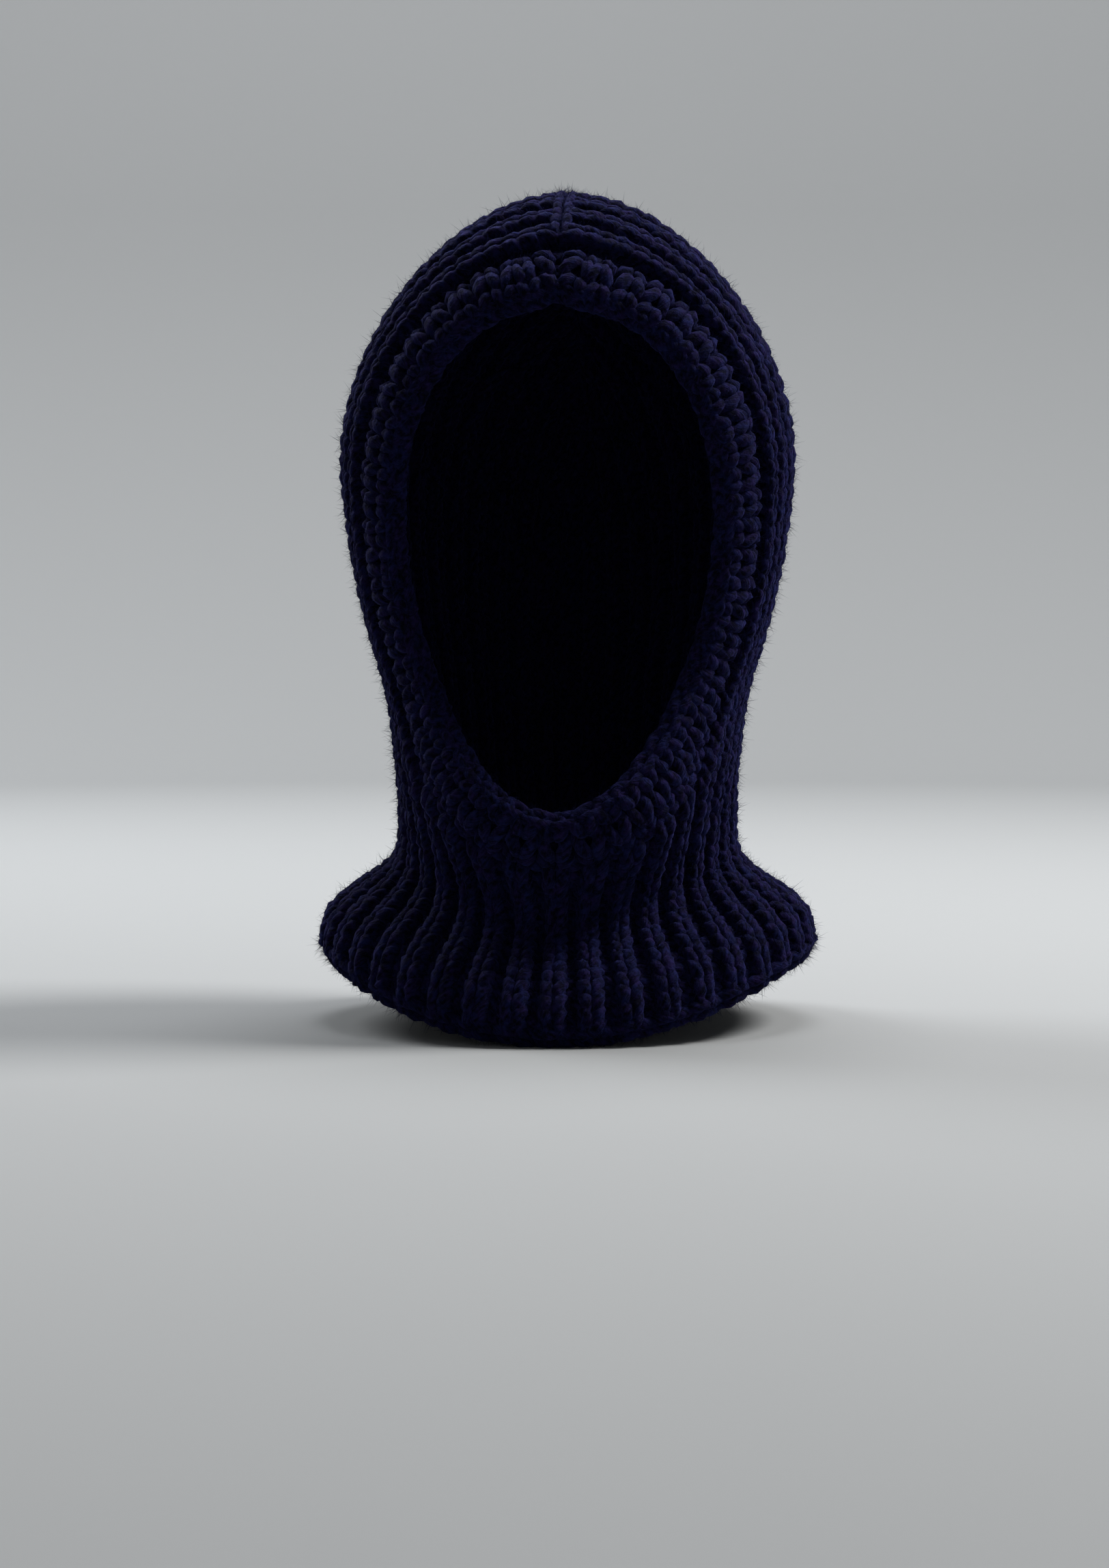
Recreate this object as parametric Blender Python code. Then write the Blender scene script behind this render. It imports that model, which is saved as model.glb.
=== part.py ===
"""Hand-knitted ribbed balaclava, as it sits on a head.

One thick ribbed fabric makes the collar, the neck and the hood. Forty ribs run up from the
cast-on hem. Nine of them end in the chin cast-off, and the others run on over the hood and meet
in the crown seam. A band of two rows of stitches is picked up around the face opening and bound
off. The wearer faces -Y, and the origin is the inside of the crown, where the hood rests on the
head. All sizes are in metres.
"""

import math

import bmesh
import bpy
import numpy as np

# The knitted sheet.
WALL = 0.006  # thickness of the sheet
RIB_RISE = 0.0025  # a rib stands this far out of the middle surface, and a furrow sinks as far
GAP = 0.0003  # clearance between pieces that touch
RIBS = 40  # ribs around the neck
CHIN_RIBS = 9  # front ribs that end under the chin
NECK_ROWS = 9  # rows from the hem to the chin
FLARE_ROWS = 6  # rows of the collar's flare
HOOD_ROWS = 26  # rows from the chin to the crown seam

# The form that the hood is stretched over, as the middle surface of the sheet.
MID_Y = 0.008
DOME_Z = -0.095
DOME_HEIGHT = 0.0985
FULLNESS = 1.79  # 2 is an ellipsoid, less is more pointed
FORM_Z = np.array([-0.268, -0.251, -0.236, -0.205, -0.185, -0.155, -0.125, -0.095])
FORM_HALF_WIDTH = np.array([0.0616, 0.0618, 0.0620, 0.0632, 0.0662, 0.0748, 0.0806, 0.0832])
FORM_FRONT = np.array([0.069, 0.077, 0.089, 0.094, 0.096, 0.097, 0.097, 0.096])
FORM_BACK = np.array([0.068, 0.068, 0.069, 0.074, 0.080, 0.092, 0.100, 0.1025])

# Rings of the collar: half width, reach to the front and back, and the height at side, front, back.
HEM = {"half_width": 0.0920, "front": 0.098, "back": 0.095, "z": (-0.2820, -0.3078, -0.2970)}
THROAT = {"half_width": 0.0616, "front": 0.069, "back": 0.068, "z": (-0.2415, -0.2665, -0.248)}
SADDLE = 2.2  # how the hem's height runs between side and front
THROAT_SPREAD = 0.17  # the ribs are this much wider apart at the throat's front, and closer behind
FLARE_PULL = (0.020, 0.022)  # how far the flare runs straight at the hem and at the throat

# The face opening, in front view, at its inmost edge.
OPENING_HALF_WIDTH = 0.0638
OPENING_Z = -0.1217  # height of its widest place
OPENING_UP = 0.0855
OPENING_DOWN = 0.109
OPENING_ROUND = (1.8, 2.2)  # roundness of the lower and of the upper part, 2 is an ellipse
PEAK = 0.003  # the crown seam draws the top of the opening up to a slight point
PEAK_HALF_WIDTH = 0.012

# The face band, by distance from the opening's edge.
BIND_OFF_END = 0.0055
BAND_START = BIND_OFF_END + GAP
BAND_END = 0.0197
PICK_UP_START = BAND_END + GAP
PICK_UP_END = 0.0235
HOOD_EDGE = PICK_UP_END + 2 * GAP
CHIN_ARC = 0.066  # half of the chin cast-off's length

# The crown seam, along the middle of the hood from the band backwards.
SEAM_LENGTH = 0.192
SEAM_SPREAD = 1.1  # above 1 the ribs meet the seam wider apart at the front than at the back
SEAM_HALF_WIDTH = 0.003
SEAM_SHARE = 0.975  # the strip's share of the seam's length
SEAM_TAPER = 20  # the strip narrows over the last twentieth of its length

TAIL_CLEAR = 0.0016  # from the bottom of the furrow to the tail, which widens downwards
HEM_DROP = 0.0055  # height of the cast-on edge
TAIL_RADIUS = 0.0012  # a woven-in yarn end, pressed flat into a furrow

RELAX_ROUNDS = 400  # rounds of evening out the stitches over the form
SIDE_RIBS = (RIBS - CHIN_RIBS) / 2  # ribs from the centre back to the edge of the opening
HALF_RIBS = RIBS / 2
TOP_ROW = NECK_ROWS + HOOD_ROWS
STEPS_PER_RIB = 2  # columns of the sheet for each rib: one on the crest and one in the furrow
NECK_SECTIONS = 7  # levels of the neck's mesh
LOOP_POINTS = 88
NAVY = (0.012, 0.012, 0.048)


def smooth_curve(knots, values, at):
    """The smooth curve through the points (knot, value), straight at both ends."""
    slope = np.gradient(values, knots)
    slope[0] = slope[-1] = 0.0
    i = np.clip(np.searchsorted(knots, at, side="right") - 1, 0, len(knots) - 2)
    step = knots[i + 1] - knots[i]
    t = np.clip((at - knots[i]) / step, 0.0, 1.0)
    blend = t * t * (3 - 2 * t)
    bend = step * (t * (1 - t) ** 2 * slope[i] - t * t * (1 - t) * slope[i + 1])
    return (1 - blend) * values[i] + blend * values[i + 1] + bend


def form_level(p):
    """1 on the form, less inside it and more outside it."""
    z = np.minimum(p[..., 2], DOME_Z)
    y = p[..., 1] - MID_Y
    reach_y = np.where(y < 0, smooth_curve(FORM_Z, FORM_FRONT, z), smooth_curve(FORM_Z, FORM_BACK, z))
    reach = np.hypot(p[..., 0] / smooth_curve(FORM_Z, FORM_HALF_WIDTH, z), y / reach_y)
    rise = np.maximum(p[..., 2] - DOME_Z, 0.0) / DOME_HEIGHT
    return (reach**FULLNESS + rise**FULLNESS) ** (1 / FULLNESS)


def onto_form(p):
    """Points moved straight away from the head's axis onto the form."""
    centre = np.stack([0 * p[..., 0], 0 * p[..., 1] + MID_Y, np.minimum(p[..., 2], DOME_Z)], -1)
    return centre + (p - centre) / form_level(p)[..., None]


def unit(v):
    return v / np.linalg.norm(v, axis=-1, keepdims=True)


def form_normal(p):
    """The form's outward normal at points on it."""
    step = 0.0005 * np.eye(3)
    return unit(np.stack([form_level(p + s) - form_level(p - s) for s in step], -1))


def evenly(line, n):
    """n points evenly along a line of points."""
    along = np.concatenate([[0.0], np.cumsum(np.linalg.norm(np.diff(line, axis=0), axis=1))])
    at = np.linspace(0.0, along[-1], n)
    return np.stack([np.interp(at, along, line[:, k]) for k in range(3)], axis=1)


def length(line):
    return np.linalg.norm(np.diff(line, axis=0), axis=1).sum()


def part_of(line, start, end, n):
    """n points evenly along a line between two distances from its first point."""
    along = np.concatenate([[0.0], np.cumsum(np.linalg.norm(np.diff(line, axis=0), axis=1))])
    at = np.linspace(start, end, n)
    return np.stack([np.interp(at, along, line[:, k]) for k in range(3)], axis=1)


def opening_edge():
    """The opening's inmost edge as a closed loop on the form, from the bottom centre round by +X."""
    turn = np.linspace(0.0, 2 * math.pi, 2001)
    low = np.cos(turn) > 0
    power = 2 / np.where(low, *OPENING_ROUND)
    x = OPENING_HALF_WIDTH * np.sign(np.sin(turn)) * np.abs(np.sin(turn)) ** power
    rise = np.where(low, -OPENING_DOWN, OPENING_UP) * np.abs(np.cos(turn)) ** power
    point = np.clip(1 - np.abs(x) / PEAK_HALF_WIDTH, 0, 1) ** 2
    z = OPENING_Z + rise + np.where(low, 0.0, PEAK * point)
    y = MID_Y - 0.09 * np.sqrt(1 - (0.9 * x / OPENING_HALF_WIDTH) ** 2)
    for _ in range(30):  # the loop keeps its front view while y settles on the form
        y = MID_Y + (y - MID_Y) / form_level(np.stack([x, y, z], -1))
    return evenly(np.stack([x, y, z], -1), LOOP_POINTS + 1)[:-1]


def march_outwards(loop, distance, steps):
    """Loops around the opening, one for each step away from its edge along the form."""
    loops = [loop]
    for _ in range(steps):
        tangent = unit(np.roll(loop, -1, axis=0) - np.roll(loop, 1, axis=0))
        outwards = unit(np.cross(tangent, form_normal(loop)))
        loop = onto_form(loop + outwards * distance / steps)
        loops.append(loop)
    return np.array(loops)


LOOP_STEP = 0.001
LOOPS = march_outwards(opening_edge(), 0.025, 25)


def face_loop(distance):
    """The loop around the face opening at this distance from its edge."""
    i = min(int(distance / LOOP_STEP), len(LOOPS) - 2)
    t = distance / LOOP_STEP - i
    return (1 - t) * LOOPS[i] + t * LOOPS[i + 1]


def ring(shape, angle):
    """Points of a collar ring at these angles, 0 at the centre back and pi at the front."""
    back = np.cos(angle) > 0
    side_z, front_z, back_z = shape["z"]
    reach = np.where(back, shape["back"], shape["front"])
    drop = np.where(back, back_z, front_z) - side_z
    z = side_z + drop * np.abs(np.cos(angle)) ** SADDLE
    return np.stack([shape["half_width"] * np.sin(angle), MID_Y + reach * np.cos(angle), z], -1)


def crown_profile():
    """The form's middle line, from the band's top centre backwards over the crown."""
    front = face_loop(HOOD_EDGE)[LOOP_POINTS // 2]
    start = math.atan2(front[2] - DOME_Z, front[1] - MID_Y)
    turn = np.linspace(start, -0.3, 400)
    rough = np.stack([0 * turn, MID_Y + 0.1 * np.cos(turn), DOME_Z + 0.1 * np.sin(turn)], -1)
    return onto_form(rough)


def coons(bottom, top, left, right):
    """A surface grid [column, row] inside four edge lines."""
    u = np.linspace(0, 1, len(bottom))[:, None, None]
    v = np.linspace(0, 1, len(left))[None, :, None]
    across = (1 - v) * bottom[:, None] + v * top[:, None]
    along = (1 - u) * left[None] + u * right[None]
    corners = (1 - u) * ((1 - v) * bottom[0] + v * top[0]) + u * ((1 - v) * bottom[-1] + v * top[-1])
    return across + along - corners


def fabric_grid():
    """Middle surface of the +X half: [column, row] from the centre back to the front centre.

    A column is half a rib. Above the chin row, columns past the opening's edge run on straight.
    """
    columns = int(HALF_RIBS * STEPS_PER_RIB) + 1
    edge = int(SIDE_RIBS * STEPS_PER_RIB)  # the column along the face opening
    angle = np.linspace(0, math.pi, columns)
    grid = np.zeros((columns, TOP_ROW + 1, 3))

    # The collar's flare: an S-curve from the hem to the throat.
    hem, throat = ring(HEM, angle), ring(THROAT, angle - THROAT_SPREAD * np.sin(angle))
    up = np.array([0, 0, 1.0])
    bezier = [hem, hem + FLARE_PULL[0] * up, throat - FLARE_PULL[1] * up, throat]
    t = np.linspace(0, 1, 31)
    weights = [(1 - t) ** 3, 3 * t * (1 - t) ** 2, 3 * t * t * (1 - t), t**3]
    flare = sum(w[None, :, None] * b[:, None] for w, b in zip(weights, bezier))
    grid[:, FLARE_ROWS] = throat

    # The fixed edges of the rest: the chin cast-off, the side of the opening and the crown seam.
    half_loop = face_loop(HOOD_EDGE)[: LOOP_POINTS // 2 + 1]
    chin = part_of(half_loop, CHIN_ARC, 0.0, columns - edge)
    side = part_of(half_loop, CHIN_ARC, length(half_loop) - SEAM_HALF_WIDTH, HOOD_ROWS + 1)
    profile = crown_profile()
    share = 1 - np.linspace(0, 1, edge + 1) ** SEAM_SPREAD
    seam = np.array([part_of(profile, 0, SEAM_LENGTH * s, 2)[1] for s in share])
    seam[:, 0] = SEAM_HALF_WIDTH * np.clip(np.arange(edge + 1) / STEPS_PER_RIB, 0, 1)
    grid[edge:, NECK_ROWS] = chin
    grid[edge, NECK_ROWS:] = side
    grid[: edge + 1, TOP_ROW] = seam

    # A first guess between those edges, then relaxed until the stitches lie evenly.
    neck_rows = NECK_ROWS - FLARE_ROWS
    rise = np.linspace(0, 1, neck_rows + 1)[:, None]
    for c in range(edge, columns):
        grid[c, FLARE_ROWS : NECK_ROWS + 1] = (1 - rise) * throat[c] + rise * grid[c, NECK_ROWS]
    turn = np.linspace(0, 1, 50)[:, None]
    rough_back = onto_form((1 - turn) * throat[0] + turn * seam[0])
    back = evenly(np.vstack([throat[:1], rough_back, seam[:1]]), TOP_ROW - FLARE_ROWS + 1)
    patch = coons(throat[: edge + 1], seam, back, grid[edge, FLARE_ROWS:])
    grid[: edge + 1, FLARE_ROWS:] = patch
    grid[edge, NECK_ROWS:] = side
    for round_number in range(RELAX_ROUNDS):
        old = grid.copy()
        mirror = old[1] * (-1, 1, 1)
        left = np.concatenate([mirror[None], old[:-1]])
        right = np.concatenate([old[1:], (old[-2] * (-1, 1, 1))[None]])
        middle = slice(FLARE_ROWS + 1, TOP_ROW)
        rows = (old[:, FLARE_ROWS : TOP_ROW - 1] + old[:, FLARE_ROWS + 2 :]) / 4
        even = rows + (left[:, middle] + right[:, middle]) / 4
        grid[1:edge, middle] = even[1:edge]
        front = slice(FLARE_ROWS + 1, NECK_ROWS)
        grid[edge:, front] = even[edge:, : NECK_ROWS - FLARE_ROWS - 1]
        if round_number % 10 == 0 and round_number < RELAX_ROUNDS - 20:
            for row in range(NECK_ROWS, TOP_ROW):
                grid[: edge + 1, row] = evenly(grid[: edge + 1, row], edge + 1)
        above = slice(NECK_ROWS + 1, TOP_ROW)
        grid[:edge, above] = onto_form(grid[:edge, above])
    for c in range(columns):
        line = np.vstack([flare[c], grid[c, FLARE_ROWS + 1 : NECK_ROWS + 1]])
        grid[c, : NECK_ROWS + 1] = evenly(line, NECK_ROWS + 1)
    for row in range(NECK_ROWS + 1, TOP_ROW + 1):
        grid[edge + 1 :, row] = 2 * grid[edge + 1 :, row - 1] - grid[edge + 1 :, row - 2]
    return grid


def rib_wave(columns):
    """+1 on a rib's crest and -1 in a furrow, for column numbers from the centre back."""
    return np.cos(2 * math.pi * np.asarray(columns) / STEPS_PER_RIB)


def both_sides(grid, columns):
    """The grid's columns on both sides of the centre back, with -X ones mirrored."""
    side = np.where(columns < 0, -1.0, 1.0)
    mirrored = grid[np.abs(columns)].copy()
    mirrored[..., 0] *= side[:, None]
    return mirrored


def sheet_normals(points, closed):
    """Outward normals of a grid [column, row] of points."""
    if closed:
        across = np.roll(points, -1, axis=0) - np.roll(points, 1, axis=0)
    else:
        across = np.gradient(points, axis=0)
    return unit(np.cross(np.gradient(points, axis=1), across))


def neck_sheet(grid):
    """Column numbers, middle points and normals of the neck, all the way round."""
    last = grid.shape[0] - 1
    columns = np.arange(-last + 1, last + 1)
    points = both_sides(grid[:, : NECK_ROWS + 2], columns)
    return columns, points[:, :-1], sheet_normals(points, closed=True)[:, :-1]


def hood_sheet(grid):
    """Column numbers, middle points and normals of the hood, from edge to edge of the opening."""
    edge = int(SIDE_RIBS * STEPS_PER_RIB)
    columns = np.arange(-edge, edge + 1)
    points = both_sides(grid[:, NECK_ROWS:], columns)
    normals = sheet_normals(points, closed=False)
    neck_columns, _, neck_normals = neck_sheet(grid)
    for side in (0, -1):  # along the face opening the edge stands as the band's edge does
        normals[side] = form_normal(points[side])
    normals[:, 0] = neck_normals[np.searchsorted(neck_columns, columns), -1]
    normals[:, -1, 0] = 0.0  # the two top edges face each other squarely
    normals[:, -1] = unit(normals[:, -1])
    return columns, points, normals


def make_material(name, colour, roughness):
    material = bpy.data.materials.new(name)
    material.use_nodes = True
    shader = material.node_tree.nodes["Principled BSDF"]
    shader.inputs["Base Color"].default_value = (*colour, 1.0)
    shader.inputs["Roughness"].default_value = roughness
    shader.inputs["Metallic"].default_value = 0.0
    return material


def make_object(name, vertices, faces, shade=1.0):
    """A mesh object in wool of its own shade."""
    mesh = bpy.data.meshes.new(name)
    mesh.from_pydata([tuple(float(c) for c in v) for v in vertices], [], faces)
    body = bmesh.new()
    body.from_mesh(mesh)
    bmesh.ops.recalc_face_normals(body, faces=body.faces)
    body.to_mesh(mesh)
    body.free()
    mesh.shade_smooth()
    thing = bpy.data.objects.new(name, mesh)
    thing.data.materials.append(make_material(name + "_wool", [shade * c for c in NAVY], 0.95))
    bpy.context.scene.collection.objects.link(thing)
    return thing


def shell(name, outer, inner, closed, shade=1.0):
    """A closed sheet between two grids [column, row] of points, with rims at its open sides."""
    columns, rows = outer.shape[:2]
    number = columns * rows
    quads = []
    for c in range(columns if closed else columns - 1):
        d = (c + 1) % columns
        for r in range(rows - 1):
            quads.append((c * rows + r, c * rows + r + 1, d * rows + r + 1, d * rows + r))
    edges = {(q[k], q[(k + 1) % 4]) for q in quads for k in range(4)}
    faces = list(quads)
    faces += [tuple(i + number for i in reversed(q)) for q in quads]
    faces += [(b, a, a + number, b + number) for a, b in edges_in_order(edges)]
    return make_object(name, np.vstack([outer.reshape(-1, 3), inner.reshape(-1, 3)]), faces, shade)


def edges_in_order(edges):
    """The edges with one face only, in a fixed order."""
    return sorted((a, b) for a, b in edges if (b, a) not in edges)


def sweep(name, sections, closed, shade=1.0):
    """A closed body through sections [place, corner] of points, as a loop or with flat ends."""
    places, corners = sections.shape[:2]
    faces = []
    for i in range(places if closed else places - 1):
        j = (i + 1) % places
        for k in range(corners):
            m = (k + 1) % corners
            faces.append((i * corners + k, i * corners + m, j * corners + m, j * corners + k))
    if not closed:
        faces.append(tuple(range(corners))[::-1])
        faces.append(tuple((places - 1) * corners + k for k in range(corners)))
    return make_object(name, sections.reshape(-1, 3), faces, shade)


def face_sections(outline, first, last):
    """Sections of a cord or band around the face opening, at the loop's points first to last.

    outline holds (distance from the opening's edge, height over the middle surface) points. Point
    0 is at the bottom centre, and numbers below it count back from there.
    """
    points = np.arange(first, last + 1) % LOOP_POINTS
    loops = [(face_loop(distance)[points], height) for distance, height in outline]
    return np.stack([loop + height * form_normal(loop) for loop, height in loops], axis=1)


def rounded(start, end, thickness, corner=0.35):
    """An outline with cut corners between two distances and half a thickness each way."""
    half = thickness / 2
    cut = corner * min(half, (end - start) / 2)
    return [
        (start, half - cut), (start, cut - half), (start + cut, -half), (end - cut, -half),
        (end, cut - half), (end, half - cut), (end - cut, half), (start + cut, half),
    ]  # fmt: skip


def build_neck_and_hem(grid):
    """The ribbed neck with its flared collar, and the cast-on edge under it."""
    columns, tube, normals = neck_sheet(grid)
    wave = rib_wave(columns)[:, None, None] * RIB_RISE
    rows = np.linspace(0, NECK_ROWS, NECK_SECTIONS)
    low = np.floor(rows).astype(int).clip(0, NECK_ROWS - 1)
    t = (rows - low)[None, :, None]
    middle = (1 - t) * tube[:, low] + t * tube[:, low + 1]
    out = unit((1 - t) * normals[:, low] + t * normals[:, low + 1])
    middle[:, -1] += GAP * unit(tube[:, -2] - tube[:, -1])
    shell("neck_tube", middle + out * (wave + WALL / 2), middle + out * (wave - WALL / 2), closed=True)

    down = unit(tube[:, 0] - tube[:, 1])
    half = WALL / 2 + 0.0008
    round_edge = [(HEM_DROP, -0.0015), (HEM_DROP, 0.0015)]
    outline = [(GAP, half), (GAP, -half), (0.0035, -half), *round_edge, (0.0035, half)]
    sections = [tube[:, 0] + down * s + normals[:, 0] * (0.6 * wave[:, 0] + n) for s, n in outline]
    sweep("cast_on_hem", np.stack(sections, axis=1), closed=True, shade=1.15)


def build_hood(grid):
    """The hood, open at the face and along the crown, where the seam closes it."""
    columns, points, normals = hood_sheet(grid)
    wave = rib_wave(columns)[:, None, None] * RIB_RISE
    shell("hood", points + normals * (wave + WALL / 2), points + normals * (wave - WALL / 2), closed=False)


def build_crown_seam():
    """The strip of bound-off stitches that joins the two top edges of the hood."""
    half = SEAM_HALF_WIDTH - 2 * GAP
    line = part_of(crown_profile(), 2 * GAP, SEAM_LENGTH * SEAM_SHARE, 30)
    normals = form_normal(line)
    width = np.clip(np.linspace(1, 0, 30) * SEAM_TAPER, 0.25, 1)[:, None]
    right = [(half, -0.0035), (half, 0.0045), (half / 2, 0.006)]
    outline = right + [(-x, n) for x, n in reversed(right)]
    side = np.array([1.0, 0, 0])
    sections = [line + side * width * x + normals * n for x, n in outline]
    sweep("crown_seam", np.stack(sections, axis=1), closed=False, shade=1.3)


def build_face_band():
    """The band around the face: its picked-up edge, its two rows and its bound-off edge."""
    whole = (0, LOOP_POINTS - 1)
    sweep("face_band", face_sections(rounded(BAND_START, BAND_END, 0.0090), *whole), True, 1.1)
    sweep("face_band_bind_off", face_sections(rounded(0.0, BIND_OFF_END, 0.0060, 0.6), *whole), True)
    outline = rounded(PICK_UP_START, PICK_UP_END, 0.0055)
    loop = face_loop(HOOD_EDGE)
    corner = round(CHIN_ARC / length(np.vstack([loop, loop[:1]])) * LOOP_POINTS)
    sweep("chin_cast_off", face_sections(outline, 1 - corner, corner - 1), False, 0.9)
    sweep("pick_up_ridge", face_sections(outline, corner, LOOP_POINTS - corner), False, 0.8)


def build_yarn_tails(grid):
    """The woven-in ends of yarn, each lying in a furrow on the inside of the hood or collar."""
    depth = WALL / 2 - RIB_RISE + TAIL_CLEAR + TAIL_RADIUS
    tails = {
        "yarn_tail_hem": (0, 1, 0.5, 6.0),
        "yarn_tail_band": (30, -1, 10.0, 16.0),
        "yarn_tail_hood": (30, 1, 10.0, 16.0),
        "yarn_tail_seam": (0, 1, 24.0, 30.0),
    }
    for name, (column, side, first, last) in tails.items():
        columns = np.abs(np.arange(column - 1, column + 2))
        strip = grid[columns].copy()
        if column == 0:
            strip[0, :, 0] *= -1
        strip[..., 0] *= side
        normals = unit(np.cross(np.gradient(strip[1], axis=0), strip[2] - strip[0])) * side
        rows = np.linspace(first, last, 14)
        low = np.floor(rows).astype(int)
        t = (rows - low)[:, None]
        line = (1 - t) * strip[1][low] + t * strip[1][low + 1]
        out = unit((1 - t) * normals[low] + t * normals[low + 1])
        line = line - out * depth
        along = unit(np.gradient(line, axis=0))
        across = unit(np.cross(along, out))
        turns = np.arange(6) * math.pi / 3
        sections = [line + TAIL_RADIUS * (math.cos(a) * across + math.sin(a) * out) for a in turns]
        sweep(name, np.stack(sections, axis=1), closed=False, shade=1.2)


def main():
    for old in list(bpy.data.objects):
        bpy.data.objects.remove(old, do_unlink=True)
    grid = fabric_grid()
    build_neck_and_hem(grid)
    build_hood(grid)
    build_crown_seam()
    build_face_band()
    build_yarn_tails(grid)


main()
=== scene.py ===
import math

import bpy
import numpy as np
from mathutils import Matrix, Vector


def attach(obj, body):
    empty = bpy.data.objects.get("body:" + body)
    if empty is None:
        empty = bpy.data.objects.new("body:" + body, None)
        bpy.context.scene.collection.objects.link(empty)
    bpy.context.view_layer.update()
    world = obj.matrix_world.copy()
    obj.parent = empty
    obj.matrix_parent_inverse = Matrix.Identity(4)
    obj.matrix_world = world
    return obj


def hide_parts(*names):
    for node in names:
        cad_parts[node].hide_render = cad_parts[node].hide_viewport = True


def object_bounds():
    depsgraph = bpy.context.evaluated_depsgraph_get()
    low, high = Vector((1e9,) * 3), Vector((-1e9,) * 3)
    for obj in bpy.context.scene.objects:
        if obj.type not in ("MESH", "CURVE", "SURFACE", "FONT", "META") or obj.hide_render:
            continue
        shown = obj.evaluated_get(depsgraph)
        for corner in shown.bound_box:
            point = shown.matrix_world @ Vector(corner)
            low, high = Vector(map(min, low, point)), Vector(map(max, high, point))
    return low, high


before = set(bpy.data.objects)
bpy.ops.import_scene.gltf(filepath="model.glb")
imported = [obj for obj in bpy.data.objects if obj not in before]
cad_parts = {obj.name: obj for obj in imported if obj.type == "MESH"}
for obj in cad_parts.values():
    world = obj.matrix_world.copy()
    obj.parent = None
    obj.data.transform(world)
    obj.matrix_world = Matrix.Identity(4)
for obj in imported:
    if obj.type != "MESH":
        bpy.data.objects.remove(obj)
cad_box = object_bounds()

# Knitted balaclava: every yarn of its fabric, the wool, the light and the camera. The yarns lie on
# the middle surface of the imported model: forty ribs round the neck, worked upwards row by row, an
# edge cast off under the chin, a seam over the crown and a band round the face. Sizes are in
# metres, and heights are measured from the top of the head.

# ---- The fabric's layout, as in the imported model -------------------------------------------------
RIBS = 40  # ribs around the neck
CHIN_RIBS = 9  # front ribs that end under the chin
NECK_ROWS = 9  # rows from the hem to the chin
FLARE_ROWS = 6  # rows of the collar's flare
HOOD_ROWS = 26  # rows from the chin to the crown seam
HALF_RIBS = RIBS / 2
SIDE_RIBS = (RIBS - CHIN_RIBS) / 2  # ribs from the centre back to the edge of the opening
TOP_ROW = NECK_ROWS + HOOD_ROWS
STEPS_PER_RIB = 2

# The form that the hood is stretched over: its axis, the dome on top, which is an ellipsoid's where
# FULLNESS is 2 and more pointed below that, and how far it reaches from the axis at some heights.
MID_Y = 0.008
DOME_Z = -0.095
DOME_HEIGHT = 0.0985
FULLNESS = 1.79
FORM_Z = np.array([-0.268, -0.251, -0.236, -0.205, -0.185, -0.155, -0.125, -0.095])
FORM_HALF_WIDTH = np.array([0.0616, 0.0618, 0.0620, 0.0632, 0.0662, 0.0748, 0.0806, 0.0832])
FORM_FRONT = np.array([0.069, 0.077, 0.089, 0.094, 0.096, 0.097, 0.097, 0.096])
FORM_BACK = np.array([0.068, 0.068, 0.069, 0.074, 0.080, 0.092, 0.100, 0.1025])

# The collar's rings, with their heights at the sides, at the front and at the back.
HEM = {"half_width": 0.0920, "front": 0.098, "back": 0.095, "z": (-0.2820, -0.3078, -0.2970)}
THROAT = {"half_width": 0.0616, "front": 0.069, "back": 0.068, "z": (-0.2415, -0.2665, -0.248)}
SADDLE = 2.2  # how late the height of a ring changes on the way to the front or the back
THROAT_SPREAD = 0.17  # how far the throat's ribs are drawn round to the back
FLARE_PULL = (0.020, 0.022)  # how far the flare's curve runs straight at the hem and at the throat

# The face opening's inmost edge, seen from the front.
OPENING_HALF_WIDTH = 0.0638
OPENING_Z = -0.1217
OPENING_UP = 0.0855
OPENING_DOWN = 0.109
OPENING_ROUND = (1.8, 2.2)  # of its lower and upper half, 2 for an ellipse
PEAK = 0.003  # height of the small point at its top centre
PEAK_HALF_WIDTH = 0.012

BAND_END = 0.0215  # distance of its first row's feet from the opening's inmost edge
BAND_ROW = 0.0061  # the height that its rows are measured in
BAND_ROWS_AT = (0.0, 0.65, 2.15)  # where each row starts, from the hood's side inwards
BAND_ROWS_HIGH = (0.65, 1.5, 0.9)
BAND_STITCHES = 53
HOOD_EDGE = 0.0241  # distance of the hood's edge from the opening's inmost edge
CHIN_ARC = 0.066  # length of that edge from its bottom centre to the end of the chin
SEAM_LENGTH = 0.192  # from the hood's edge back over the crown
SEAM_SPREAD = 1.1  # how unevenly the ribs reach the seam, 1 for evenly
SEAM_HALF_WIDTH = 0.003
RELAX_ROUNDS = 400
LOOP_POINTS = 88  # of each loop around the opening
LOOP_STEP = 0.001  # distance between the loops
LOOPS_OUT = 25  # loops outside the edge

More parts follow.
